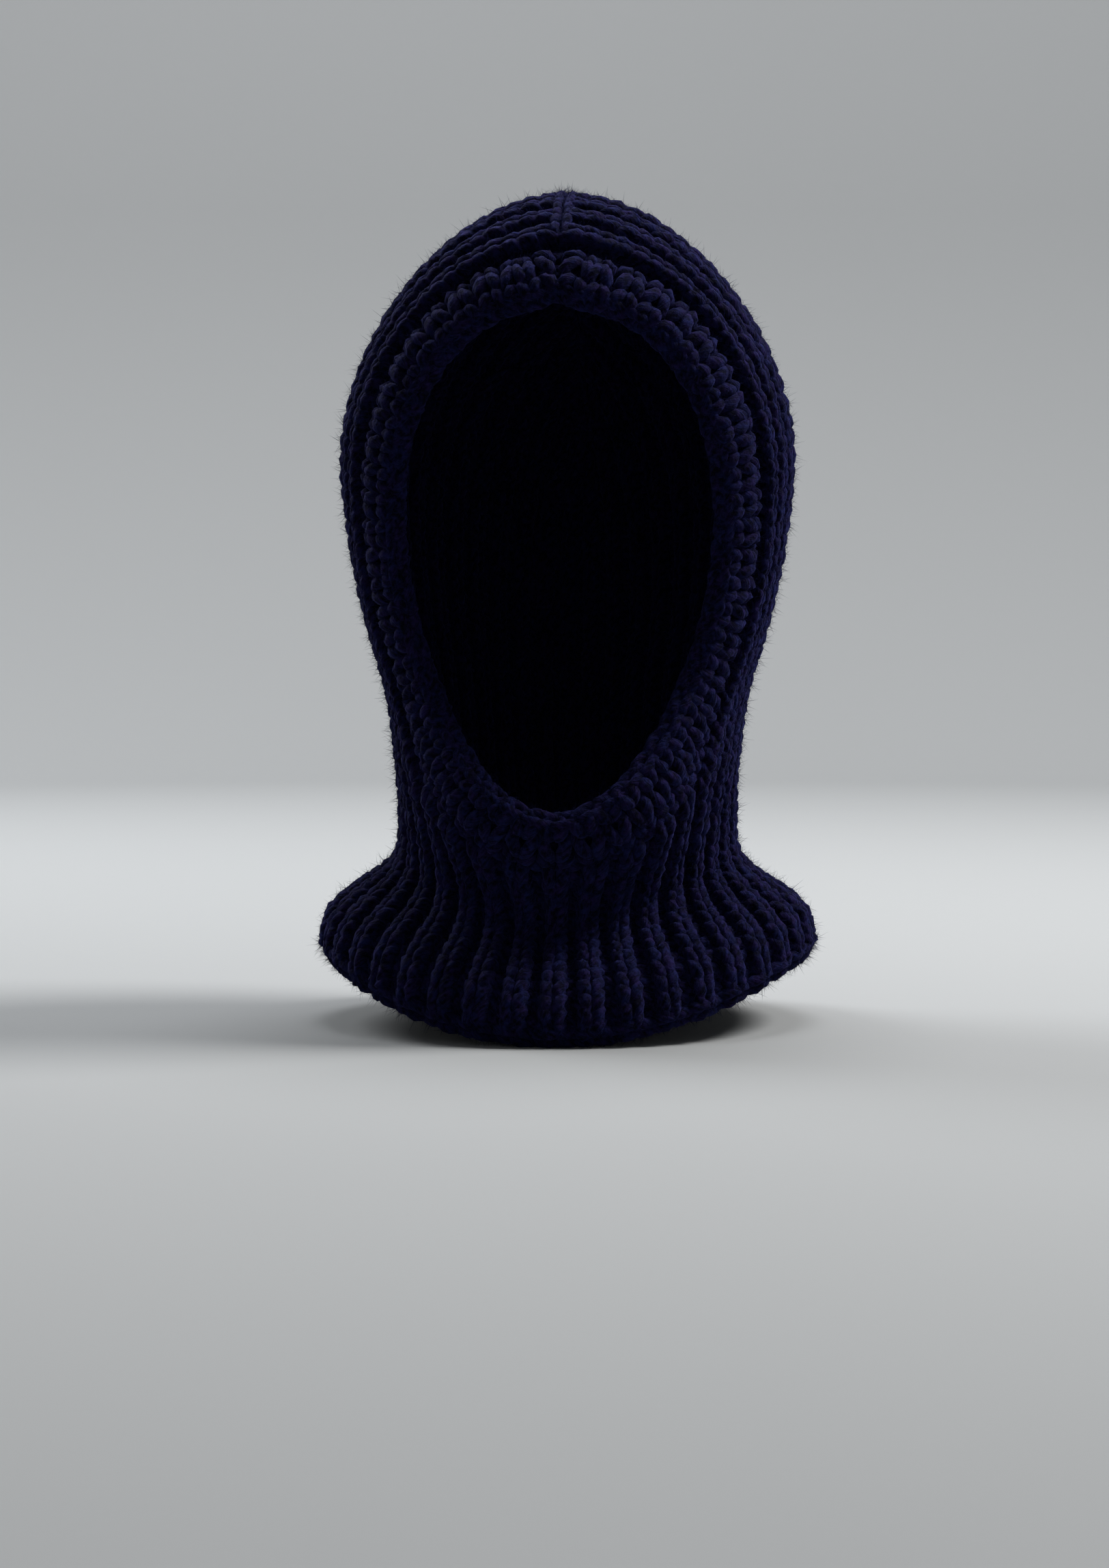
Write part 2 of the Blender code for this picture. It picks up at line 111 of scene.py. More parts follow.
# ---- The yarn ------------------------------------------------------------------------------------
YARN = 0.0021  # radius
SIDES = 12
PLIES = 3
PLY_DEPTH = 0.16  # how far the plies bulge, as a share of the radius
TWIST = 0.015  # length of one turn of the plies
ROUGHNESS = 0.07  # how uneven the yarn's surface is, as a share of the radius
RING_STEP = 0.0019  # distance between the rings of a yarn's mesh
NECK_STITCHES = 14  # rows of stitches from the hem to the chin
HOOD_STITCHES = 40  # and from the chin to the crown seam
NECK_PIECES = [0, 3, 6, 9, 12, NECK_STITCHES]  # the first row of each piece, and the end
HOOD_PIECE_ROWS = 4  # rows of stitches in each of the hood's pieces
OUTER_RIB = int(SIDE_RIBS)  # the hood's last whole rib on each side
BAND_YARN = 0.0023  # radii of the yarns that differ
EDGE_YARN = 0.0020
SEAM_YARN = 0.0018
SEAM_BACK_YARN = 0.0022
TAIL_YARN = 0.0015

# The loose fibres that stand out of the yarn.
FIBRE = 0.00008  # radius at the root
FIBRE_LENGTH = (0.0015, 0.0065)
FIBRE_LIFT = 0.5  # how far they stand up from the yarn
NECK_FIBRES = 7000  # in each row of stitches
HOOD_FIBRES = 5000
CAST_ON_FIBRES = 9000  # in each whole piece
CORNER_FIBRES = 500
BAND_FIBRES = 25000
EDGE_FIBRES = 9000
SEAM_FIBRES = 4000
HEM_FIBRES = 18000

# Half a stitch, from the foot it shares with its neighbour to the middle of its head: across the
# stitch in pitches, along the column in rows, out of the fabric in millimetres, and how thick the
# yarn is there, as a share of its usual thickness.
RIB_STITCH = [
    (-0.250, -0.25, -0.5, 1.32),
    (-0.150, -0.18, 0.7, 1.10),
    (-0.115, 0.06, 2.8, 0.90),
    (-0.125, 0.45, 3.6, 0.96),
    (-0.160, 0.90, 3.2, 1.02),
    (-0.185, 1.18, 1.3, 1.15),
    (0.000, 1.32, 0.0, 1.32),
]
JOIN = 1.25  # where the yarn is thicker than this, one stitch hangs from the next
JOIN_DEPTH = 1.1  # how far the joins lie behind the middle of the fabric, in millimetres
PURL_DEPTH = 1.2  # a purl stitch lies deeper than a knit stitch stands out
USUAL_RIB = 0.0120  # where the ribs are wider than this the yarn is fuller too
FULLER = (0.92, 1.22)
BAND_STITCH = [
    (-0.50, -0.25, -3.0, 1.45),
    (-0.22, -0.22, -2.0, 1.05),
    (-0.12, 0.04, 0.6, 0.90),
    (-0.19, 0.38, 1.9, 1.05),
    (-0.32, 0.76, 1.3, 1.05),
    (-0.29, 1.02, -1.5, 1.05),
    (0.00, 1.12, -3.2, 1.40),
]
BAND_CURL = (-1.0, 0.2, -1.3)  # how far out each row of the band lies, in millimetres
BAND_FEET = (0.25, 0.0014)  # how much lower and deeper the first row's feet reach into the hood

# One link of a chain: along the chain in links, sideways and outwards in millimetres, and how
# thick the yarn is.
CHAIN_LINK = [
    (-0.30, -0.7, -1.3, 0.95),
    (0.00, -1.8, 0.7, 1.0),
    (0.50, -2.3, 1.1, 1.0),
    (0.95, -1.3, 0.0, 1.0),
    (1.10, 0.0, -0.9, 1.0),
    (0.95, 1.3, 0.0, 1.0),
    (0.50, 2.3, 1.1, 1.0),
    (0.00, 1.8, 0.7, 1.0),
    (-0.30, 0.7, -1.3, 0.95),
    (0.20, 0.2, -2.4, 1.0),
]
LINK_PLACES = 8  # places along the guide line of a chain for each link

# Where the chains lie: distances from the opening's inmost edge, and depths under the surface.
BAND_BACK_AT = (0.0070, 0.0148)
BAND_BACK_DEPTH = 0.0050
BOUND_OFF_AT, BOUND_OFF_DEPTH = 0.0029, 0.0034
BOUND_OFF_TURN = 0.35  # how far its links turn from the opening to the front
GROOVE_AT, GROOVE_DEPTH = 0.0225, 0.0054
GROOVE_LINK = 0.0095  # length of a link there
SEAM_LINKS = 31
SEAM_RISE = 0.0032  # how far the seam stands out
SEAM_BACK_DEPTH = 0.0022
HEM_CHAIN_ROW = -0.56  # the cast-on edge, in rows of stitches over the hem
HEM_WAVE = 0.0016  # how far it goes in and out with the ribs

# The woven-in ends of yarn: how deep each lies and how far it sways, in metres and in ribs.
TAIL_DEPTH = 0.0030
TAIL_SWAY = (0.0008, 0.04)

random = np.random.default_rng(5)


def smooth_curve(knots, values, at):
    """The smooth curve through the points (knot, value), straight at both ends."""
    slope = np.gradient(values, knots)
    slope[0] = slope[-1] = 0.0
    i = np.clip(np.searchsorted(knots, at, side="right") - 1, 0, len(knots) - 2)
    step = knots[i + 1] - knots[i]
    t = np.clip((at - knots[i]) / step, 0.0, 1.0)
    blend = t * t * (3 - 2 * t)
    bend = step * (t * (1 - t) ** 2 * slope[i] - t * t * (1 - t) * slope[i + 1])
    return (1 - blend) * values[i] + blend * values[i + 1] + bend


def form_level(p):
    """1 on the form that the hood is stretched over, less inside it and more outside it."""
    z = np.minimum(p[..., 2], DOME_Z)
    y = p[..., 1] - MID_Y
    sideways, front, back = (
        smooth_curve(FORM_Z, reach, z) for reach in (FORM_HALF_WIDTH, FORM_FRONT, FORM_BACK)
    )
    reach = np.hypot(p[..., 0] / sideways, y / np.where(y < 0, front, back))
    rise = np.maximum(p[..., 2] - DOME_Z, 0.0) / DOME_HEIGHT
    return (reach**FULLNESS + rise**FULLNESS) ** (1 / FULLNESS)


def on_axis(p):
    """The nearest points of the head's axis, which ends where the dome starts."""
    return np.stack([0 * p[..., 0], 0 * p[..., 1] + MID_Y, np.minimum(p[..., 2], DOME_Z)], -1)


def onto_form(p):
    """Points moved straight away from the head's axis onto the form."""
    centre = on_axis(p)
    return centre + (p - centre) / form_level(p)[..., None]


def unit(v):
    return v / np.linalg.norm(v, axis=-1, keepdims=True)


def dot(a, b):
    return (a * b).sum(axis=-1, keepdims=True)


def form_normal(p):
    """The form's outward normal at points on it."""
    step = 0.0005 * np.eye(3)
    return unit(np.stack([form_level(p + s) - form_level(p - s) for s in step], -1))


def distances(line):
    """Distance along a line of points to each point."""
    steps = np.linalg.norm(np.diff(line[:, :3], axis=0), axis=1)
    return np.concatenate([[0.0], np.cumsum(steps)])


def part_of(line, start, end, n):
    """n points evenly along a line between two distances from its first point."""
    along = distances(line)
    at = np.linspace(start, end, n)
    return np.stack([np.interp(at, along, line[:, k]) for k in range(line.shape[1])], axis=1)


def evenly(line, n):
    """n points evenly along a line of points."""
    return part_of(line, 0.0, distances(line)[-1], n)


def length(line):
    return distances(line)[-1]


def opening_edge():
    """The opening's inmost edge, a closed loop on the form, from the bottom centre round by +X."""
    turn = np.linspace(0.0, 2 * math.pi, 2001)
    low = np.cos(turn) > 0
    power = 2 / np.where(low, *OPENING_ROUND)
    x = OPENING_HALF_WIDTH * np.sign(np.sin(turn)) * np.abs(np.sin(turn)) ** power
    rise = np.where(low, -OPENING_DOWN, OPENING_UP) * np.abs(np.cos(turn)) ** power
    point = np.clip(1 - np.abs(x) / PEAK_HALF_WIDTH, 0, 1) ** 2
    z = OPENING_Z + rise + np.where(low, 0.0, PEAK * point)
    y = MID_Y - 0.09 * np.sqrt(1 - (0.9 * x / OPENING_HALF_WIDTH) ** 2)
    for _ in range(30):  # the loop keeps its front view while y settles on the form
        y = MID_Y + (y - MID_Y) / form_level(np.stack([x, y, z], -1))
    return evenly(np.stack([x, y, z], -1), LOOP_POINTS + 1)[:-1]


def march_outwards(loop, distance, steps):
    """Loops around the opening, one for each step away from its edge along the form."""
    loops = [loop]
    for _ in range(steps):
        tangent = unit(np.roll(loop, -1, axis=0) - np.roll(loop, 1, axis=0))
        outwards = unit(np.cross(tangent, form_normal(loop)))
        loop = onto_form(loop + outwards * distance / steps)
        loops.append(loop)
    return np.array(loops)


LOOPS = march_outwards(opening_edge(), LOOP_STEP * LOOPS_OUT, LOOPS_OUT)


def face_loop(distance):
    """The loop around the face opening at this distance from its edge."""
    i = min(int(distance / LOOP_STEP), len(LOOPS) - 2)
    t = distance / LOOP_STEP - i
    return (1 - t) * LOOPS[i] + t * LOOPS[i + 1]


def sunk_loop(distance, depth):
    """The loop at this distance from the opening's edge and this far under the form, and its
    normals."""
    loop = face_loop(distance)
    normals = form_normal(loop)
    return loop - depth * normals, normals


def ring(shape, angle):
    """Points of a collar ring at these angles, 0 at the centre back and pi at the front."""
    back = np.cos(angle) > 0
    side_z, front_z, back_z = shape["z"]
    reach = np.where(back, shape["back"], shape["front"])
    drop = np.where(back, back_z, front_z) - side_z
    z = side_z + drop * np.abs(np.cos(angle)) ** SADDLE
    return np.stack([shape["half_width"] * np.sin(angle), MID_Y + reach * np.cos(angle), z], -1)


def crown_profile():
    """The form's middle line, from the band's top centre backwards over the crown."""
    front = face_loop(HOOD_EDGE)[LOOP_POINTS // 2]
    start = math.atan2(front[2] - DOME_Z, front[1] - MID_Y)
    turn = np.linspace(start, -0.3, 400)
    rough = np.stack([0 * turn, MID_Y + 0.1 * np.cos(turn), DOME_Z + 0.1 * np.sin(turn)], -1)
    return onto_form(rough)


def coons(bottom, top, left, right):
    """A surface grid [column, row] inside four edge lines."""
    u = np.linspace(0, 1, len(bottom))[:, None, None]
    v = np.linspace(0, 1, len(left))[None, :, None]
    across = (1 - v) * bottom[:, None] + v * top[:, None]
    along = (1 - u) * left[None] + u * right[None]
    first = (1 - v) * bottom[0] + v * top[0]
    last = (1 - v) * bottom[-1] + v * top[-1]
    return across + along - ((1 - u) * first + u * last)


def fabric_grid():
    """Middle surface of the +X half: [half rib, row] from the centre back to the front centre."""
    columns = int(HALF_RIBS * STEPS_PER_RIB) + 1
    edge = int(SIDE_RIBS * STEPS_PER_RIB)  # the column along the face opening
    angle = np.linspace(0, math.pi, columns)
    grid = np.zeros((columns, TOP_ROW + 1, 3))

    # The collar's flare: an S-curve from the hem to the throat.
    hem, throat = ring(HEM, angle), ring(THROAT, angle - THROAT_SPREAD * np.sin(angle))
    up = np.array([0, 0, 1.0])
    bezier = [hem, hem + FLARE_PULL[0] * up, throat - FLARE_PULL[1] * up, throat]
    t = np.linspace(0, 1, 31)
    weights = [(1 - t) ** 3, 3 * t * (1 - t) ** 2, 3 * t * t * (1 - t), t**3]
    flare = sum(w[None, :, None] * b[:, None] for w, b in zip(weights, bezier))
    grid[:, FLARE_ROWS] = throat

    # The fixed edges of the rest: the chin cast-off, the side of the opening and the crown seam.
    half_loop = face_loop(HOOD_EDGE)[: LOOP_POINTS // 2 + 1]
    chin = part_of(half_loop, CHIN_ARC, 0.0, columns - edge)
    side = part_of(half_loop, CHIN_ARC, length(half_loop) - SEAM_HALF_WIDTH, HOOD_ROWS + 1)
    profile = crown_profile()
    share = 1 - np.linspace(0, 1, edge + 1) ** SEAM_SPREAD
    seam = np.array([part_of(profile, 0, SEAM_LENGTH * s, 2)[1] for s in share])
    seam[:, 0] = SEAM_HALF_WIDTH * np.clip(np.arange(edge + 1) / STEPS_PER_RIB, 0, 1)
    grid[edge:, NECK_ROWS] = chin
    grid[edge, NECK_ROWS:] = side
    grid[: edge + 1, TOP_ROW] = seam

    # A first guess between those edges, then relaxed until the stitches lie evenly.
    neck_rows = NECK_ROWS - FLARE_ROWS
    rise = np.linspace(0, 1, neck_rows + 1)[:, None]
    for c in range(edge, columns):
        grid[c, FLARE_ROWS : NECK_ROWS + 1] = (1 - rise) * throat[c] + rise * grid[c, NECK_ROWS]
    turn = np.linspace(0, 1, 50)[:, None]
    rough_back = onto_form((1 - turn) * throat[0] + turn * seam[0])
    back = evenly(np.vstack([throat[:1], rough_back, seam[:1]]), TOP_ROW - FLARE_ROWS + 1)
    patch = coons(throat[: edge + 1], seam, back, grid[edge, FLARE_ROWS:])
    grid[: edge + 1, FLARE_ROWS:] = patch
    grid[edge, NECK_ROWS:] = side
    for round_number in range(RELAX_ROUNDS):
        old = grid.copy()
        mirror = old[1] * (-1, 1, 1)
        left = np.concatenate([mirror[None], old[:-1]])
        right = np.concatenate([old[1:], (old[-2] * (-1, 1, 1))[None]])
        middle = slice(FLARE_ROWS + 1, TOP_ROW)
        rows = (old[:, FLARE_ROWS : TOP_ROW - 1] + old[:, FLARE_ROWS + 2 :]) / 4
        even = rows + (left[:, middle] + right[:, middle]) / 4
        grid[1:edge, middle] = even[1:edge]
        front = slice(FLARE_ROWS + 1, NECK_ROWS)
        grid[edge:, front] = even[edge:, : NECK_ROWS - FLARE_ROWS - 1]
        if round_number % 10 == 0 and round_number < RELAX_ROUNDS - 20:
            for row in range(NECK_ROWS, TOP_ROW):
                grid[: edge + 1, row] = evenly(grid[: edge + 1, row], edge + 1)
        above = slice(NECK_ROWS + 1, TOP_ROW)
        grid[:edge, above] = onto_form(grid[:edge, above])
    for c in range(columns):
        line = np.vstack([flare[c], grid[c, FLARE_ROWS + 1 : NECK_ROWS + 1]])
        grid[c, : NECK_ROWS + 1] = evenly(line, NECK_ROWS + 1)
    for row in range(NECK_ROWS + 1, TOP_ROW + 1):
        grid[edge + 1 :, row] = 2 * grid[edge + 1 :, row - 1] - grid[edge + 1 :, row - 2]
    return grid


# ---- Smooth surfaces that the yarns are laid on --------------------------------------------------
class Fabric:
    """A surface through a grid [column, row] of points, with its normals.

    It is read by stitch and row: the grid has per_stitch columns to a stitch and per_row rows to
    a row, and first is the column and row number of its first point.
    """

    def __init__(self, points, first, per_stitch, per_row):
        self.first, self.per_stitch, self.per_row = first, per_stitch, per_row
        across = np.gradient(points, axis=0)
        upwards = np.gradient(points, axis=1)
        self.grid = np.concatenate([points, unit(np.cross(upwards, across))], axis=-1)

    def at(self, stitch, row, out):
        """Points at a stitch and row number and a height over the surface."""
        c = stitch * self.per_stitch - self.first[0]
        r = row * self.per_row - self.first[1]
        columns, rows = self.grid.shape[:2]
        i = np.clip(np.floor(c).astype(int), 1, columns - 3)
        j = np.clip(np.floor(r).astype(int), 1, rows - 3)
        s, t = (c - i)[..., None], (r - j)[..., None]
        lines = [cubic([self.grid[i + k, j + m] for m in (-1, 0, 1, 2)], t) for k in (-1, 0, 1, 2)]
        value = cubic(lines, s)
        return value[..., :3] + out[..., None] * unit(value[..., 3:])


def cubic(knots, t):
    """The smooth curve through four evenly spaced knots, at t from the second to the third."""
    a, b, c, d = knots
    return b + 0.5 * t * (c - a + t * (2 * a - 5 * b + 4 * c - d + t * (3 * (b - c) + d - a)))


def mirrored(grid, columns):
    """Columns of the whole fabric, numbered from the centre back, from the grid of its +X half."""
    last = grid.shape[0] - 1
    number = np.abs(columns)
    past_front = number > last
    number = np.where(past_front, 2 * last - number, number)
    side = np.where(columns < 0, -1.0, 1.0) * np.where(past_front, -1.0, 1.0)
    points = grid[number].copy()
    points[..., 0] *= side[:, None]
    return points


def neck_fabric(grid):
    columns = np.arange(-RIBS - 2, RIBS + 3)
    points = mirrored(grid[:, : NECK_ROWS + 3], columns)
    below = 2 * points[:, :1] - points[:, 1:2]
    points = np.concatenate([below, points], axis=1)
    return Fabric(points, (columns[0], -1), STEPS_PER_RIB, NECK_ROWS / NECK_STITCHES)


def hood_fabric(grid):
    edge = int(SIDE_RIBS * STEPS_PER_RIB)
    half = grid[: edge + 2, NECK_ROWS - 2 :].copy()
    half[edge + 1] = 2 * half[edge] - half[edge - 1]
    columns = np.arange(-edge - 1, edge + 2)
    points = half[np.abs(columns)]
    points[columns < 0] *= (-1, 1, 1)
    beyond = 2 * points[:, -1:] - points[:, -2:-1]
    points = np.concatenate([points, beyond], axis=1)
    return Fabric(points, (columns[0], -2), STEPS_PER_RIB, HOOD_ROWS / HOOD_STITCHES)


def band_fabric():
    """The face band's surface, by stitches round by -X from the bottom and by rows inwards."""
    grid = np.array([face_loop(BAND_END - LOOP_STEP * k) for k in range(-5, 22)])
    grid = np.concatenate([grid, 2 * grid[-1:] - grid[-2:-1]])[:, ::-1].transpose(1, 0, 2)
    grid = np.roll(grid, 1, axis=0)  # the bottom centre comes first again
    columns = np.arange(-3, LOOP_POINTS + 4)
    per_row = BAND_ROW / LOOP_STEP
    return Fabric(grid[columns % LOOP_POINTS], (-3, -5), LOOP_POINTS / BAND_STITCHES, per_row)


# ---- Yarn ----------------------------------------------------------------------------------------
def whole_stitch(half):
    """All the places of a stitch from the half of it, up to the foot of the next."""
    left = np.array(half)
    right = left[::-1] * (-1, 1, 1, 1)
    return np.concatenate([left, right[1:-1]])


def curve_through(points, closed, steps=6):
    """A smooth line through each path [path, point, value], with steps places for each point."""
    if closed:
        padded = np.concatenate([points[:, -1:], points, points[:, :2]], axis=1)
    else:
        before = 2 * points[:, :1] - points[:, 1:2]
        after = 2 * points[:, -1:] - points[:, -2:-1]
        padded = np.concatenate([before, points, after], axis=1)
    knots = [padded[:, k : padded.shape[1] - 3 + k, None] for k in range(4)]
    t = (np.arange(steps) / steps)[:, None]
    fine = cubic(knots, t).reshape(len(points), -1, points.shape[-1])
    return fine if closed else np.concatenate([fine, points[:, -1:]], axis=1)


def resample(paths, closed, step):
    """Each path with evenly spaced points, as many on each, and each path's length."""
    if closed:
        paths = np.concatenate([paths, paths[:, :1]], axis=1)
    lengths = np.array([length(p) for p in paths])
    count = max(8, round(lengths.mean() / step))
    even = np.array([evenly(p, count + 1) for p in paths])
    return (even[:, :-1] if closed else even), lengths


def side_vectors(points, closed):
    """For each point the direction of its path, and a side vector that doesn't turn about it."""
    if closed:
        along = unit(np.roll(points, -1, axis=1) - np.roll(points, 1, axis=1))
    else:
        along = unit(np.gradient(points, axis=1))
    side = np.empty_like(points)
    start = along[:, 0]
    side[:, 0] = unit(np.cross(start, np.roll(start, 1, axis=-1) + (0.1, 0.2, 0.3)))

    def carry(vector, i, j):
        step = points[:, j] - points[:, i]
        size = dot(step, step)
        turned = vector - 2 / size * dot(step, vector) * step
        ahead = along[:, i] - 2 / size * dot(step, along[:, i]) * step
        rest = along[:, j] - ahead
        return turned - 2 / dot(rest, rest) * dot(rest, turned) * rest

    count = points.shape[1]
    for i in range(1, count):
        side[:, i] = unit(carry(side[:, i - 1], i - 1, i))
    turn = np.zeros(len(points))
    if closed:
        last = carry(side[:, -1], count - 1, 0)
        cross = np.cross(last, side[:, 0])
        turn = np.arctan2(dot(cross, along[:, 0])[:, 0], dot(last, side[:, 0])[:, 0])
    return along, side, turn


def smooth_noise(shape, spacing, size):
    """Random values along the last axis that change smoothly over this many places."""
    count = shape[-1] // spacing + 4
    knots = random.normal(0.0, size, shape[:-1] + (count,))
    at = np.arange(shape[-1]) / spacing + 1
    low = np.floor(at).astype(int)
    return cubic([knots[..., low + k] for k in (-1, 0, 1, 2)], at - low)


def yarn_mesh(name, control, closed, radius=YARN, fuzz=0):
    """A piece of plied yarns along smooth curves through control points [path, point, (x, y, z,
    share of the radius)], with this many loose fibres on the outside."""
    points, lengths = resample(curve_through(control, closed), closed, RING_STEP)
    points, plumpness = points[..., :3], points[..., 3]
    along, side, turn = side_vectors(points, closed)
    across = np.cross(along, side)
    paths, count = points.shape[:2]
    share = np.arange(count) / count
    travelled = share[None] * lengths[:, None]
    turns = np.round(lengths / TWIST)[:, None] * share[None]
    if closed:
        untwist = share[None] * turn[:, None]
    else:
        untwist = 0 * travelled
    angle = 2 * math.pi * np.arange(SIDES) / SIDES
    ply_angle = angle[None, None] - 2 * math.pi * turns[..., None]
    thick = radius * plumpness * (1 + smooth_noise((paths, count), 7, 0.035))
    if not closed:
        ends = np.minimum(np.arange(count), np.arange(count)[::-1])
        thick = thick * np.interp(ends, [0, 1, 2], [0.45, 0.85, 1.0])
    bulge = 1 + PLY_DEPTH * np.abs(np.cos(PLIES / 2 * ply_angle)) - PLY_DEPTH / 2
    reach = thick[..., None] * bulge * (1 + random.normal(0, ROUGHNESS, bulge.shape))
    place = angle[None, None] + untwist[..., None]
    around = np.cos(place)[..., None] * side[:, :, None]
    around = around + np.sin(place)[..., None] * across[:, :, None]
    vertices = points[:, :, None] + reach[..., None] * around

    base = np.arange(paths * count).reshape(paths, count)
    nearer = base if closed else base[:, :-1]
    farther = np.roll(base, -1, axis=1) if closed else base[:, 1:]
    k = np.arange(SIDES)
    m = (k + 1) % SIDES
    near, far = nearer.reshape(-1, 1) * SIDES, farther.reshape(-1, 1) * SIDES
    quads = np.stack([near + k, near + m, far + m, far + k], axis=-1).reshape(-1, 4)
    faces = [quads]
    if not closed:
        faces.append(base[:, :1] * SIDES + k[::-1])
        faces.append(base[:, -1:] * SIDES + k)

    # Where each point lies in the straight, untwisted yarn, which is what the wool's fibres follow.
    lay = np.stack([radius * np.cos(ply_angle), radius * np.sin(ply_angle), 0 * ply_angle], axis=-1)
    lay[..., 2] += (travelled + 0.37 * np.arange(paths)[:, None])[..., None]
    vertices, lay = vertices.reshape(-1, 3), lay.reshape(-1, 3)
    if fuzz:
        headings = np.broadcast_to(along[:, :, None], around.shape).reshape(-1, 3)
        spikes, spike_faces = fibres(vertices, around.reshape(-1, 3), headings, fuzz)
        faces += [f + len(vertices) for f in spike_faces]
        vertices = np.concatenate([vertices, spikes])
        lay = np.concatenate([lay, 0.3 * random.random(spikes.shape)])
    piece = mesh_piece(name, vertices, faces)
    store = piece.data.attributes.new("yarn", "FLOAT_VECTOR", "POINT")
    store.data.foreach_set("vector", lay.astype(np.float32).ravel())
    return piece


def fibres(roots, normals, along, number):
    """Vertices and faces of this many short fibres on the outside, each a closed thin spike."""
    away = unit(roots - on_axis(roots))
    pick = np.flatnonzero(dot(normals, away)[:, 0] > -0.2)
    pick = random.choice(pick, number)
    lean = along[pick] * random.choice([-1.0, 1.0], number)[:, None]
    scatter = random.normal(0, 1, (number, 3))
    heading = unit(FIBRE_LIFT * normals[pick] + 0.5 * lean + 0.5 * scatter)
    reach = (FIBRE_LENGTH[0] + np.diff(FIBRE_LENGTH) * random.random(number) ** 2)[:, None]
    across = unit(np.cross(heading, normals[pick] + 0.01))
    other = np.cross(heading, across)
    root = roots[pick] - 0.0004 * normals[pick]
    turns = 2 * math.pi / 3 * np.arange(3)
    base = [root + FIBRE * (math.cos(a) * across + math.sin(a) * other) for a in turns]
    vertices = np.stack([*base, root + reach * heading], axis=1)
    spike = np.array([(0, 1, 3), (1, 2, 3), (2, 0, 3), (2, 1, 0)])
    faces = 4 * np.arange(number)[:, None, None] + spike
    return vertices.reshape(-1, 3), [faces.reshape(-1, 3)]


def mesh_piece(name, vertices, faces):
    """A smooth mesh object from vertices and arrays of faces [face, corner]."""
    mesh = bpy.data.meshes.new(name)
    corners = np.concatenate([f.ravel() for f in faces]).astype(np.int32)
    sizes = np.concatenate([np.full(len(f), f.shape[1]) for f in faces])
    starts = np.concatenate([[0], np.cumsum(sizes)[:-1]]).astype(np.int32)
    mesh.vertices.add(len(vertices))
    mesh.vertices.foreach_set("co", vertices.astype(np.float32).ravel())
    mesh.loops.add(len(corners))
    mesh.loops.foreach_set("vertex_index", corners)
    mesh.polygons.add(len(sizes))
    mesh.polygons.foreach_set("loop_start", starts)
    mesh.update(calc_edges=True)
    mesh.shade_smooth()
    piece = bpy.data.objects.new(name, mesh)
    bpy.context.scene.collection.objects.link(piece)
    return piece


def rib_rows(fabric, rows, first_rib, last_rib, first_foot=None):
    """Control points of rows of ribbing [row, point, value]: a knit stitch on each whole rib number
    and a purl stitch, which is the same seen from behind, half way between. The stitches of a
    cast-on row start at first_foot, a share of a row below their heads."""
    stitch = whole_stitch(RIB_STITCH)
    numbers = np.arange(2 * first_rib, 2 * last_rib + 1)
    outwards = np.where(numbers % 2 == 0, 1.0, -1.0)
    shape = (len(rows), len(numbers), len(stitch))
    rib = numbers[None, :, None] / 2 + stitch[None, None, :, 0]
    up = stitch[None, None, :, 1]
    if first_foot is not None:
        up = np.interp(up, [-0.25, 1.32], [1.0 - first_foot, 1.32])
    row = np.asarray(rows)[:, None, None] + up
    knit = outwards[None, :, None] > 0
    joins = stitch[None, None, :, 3] > JOIN
    out = 0.001 * (np.where(knit, 1.0, -PURL_DEPTH) * stitch[None, None, :, 2] - JOIN_DEPTH * joins)
    rib = rib + random.normal(0, 0.008, shape[:2] + (1,)) + random.normal(0, 0.005, shape)
    row = row + random.normal(0, 0.03, shape[:2] + (1,)) + random.normal(0, 0.015, shape)
    out = out + random.normal(0, 0.00015, shape)
    middle, half_up = np.broadcast_arrays(numbers / 2, np.asarray(rows)[:, None] + 0.5)
    sides = [fabric.at(middle + half, half_up, 0 * middle) for half in (-0.5, 0.5)]
    fuller = np.clip(np.linalg.norm(sides[1] - sides[0], axis=-1) / USUAL_RIB, *FULLER)
    thick = stitch[None, None, :, 3] * fuller[..., None]
    flat = [a.reshape(len(rows), -1) for a in np.broadcast_arrays(rib, row, out, thick)]
    return np.concatenate([fabric.at(*flat[:3]), flat[3][..., None]], axis=-1)


def band_rows(fabric):
    """Control points of the face band's rows [row, point, value], all knit stitches."""
    stitch = whole_stitch(BAND_STITCH)
    count = len(BAND_ROWS_AT)
    shape = (count, BAND_STITCHES, len(stitch))
    start, high = (np.array(a)[:, None, None] for a in (BAND_ROWS_AT, BAND_ROWS_HIGH))
    first_feet = (start == 0) & (stitch[None, None, :, 1] < -0.2)  # reach into the hood's edge
    number = np.arange(BAND_STITCHES)[None, :, None] + stitch[None, None, :, 0]
    row = start + high * stitch[None, None, :, 1] - BAND_FEET[0] * first_feet
    out = 0.001 * (stitch[None, None, :, 2] + np.array(BAND_CURL)[:, None, None])
    out = out - BAND_FEET[1] * first_feet
    number = number + random.normal(0, 0.03, shape[:2] + (1,)) + random.normal(0, 0.015, shape)
    row = row + random.normal(0, 0.04, shape[:2] + (1,)) + random.normal(0, 0.02, shape)
    out = out + random.normal(0, 0.0002, shape[:2] + (1,))
    thick = stitch[None, None, :, 3]
    flat = [a.reshape(count, -1) for a in np.broadcast_arrays(number, row, out, thick)]
    return np.concatenate([fabric.at(*flat[:3]), flat[3][..., None]], axis=-1)


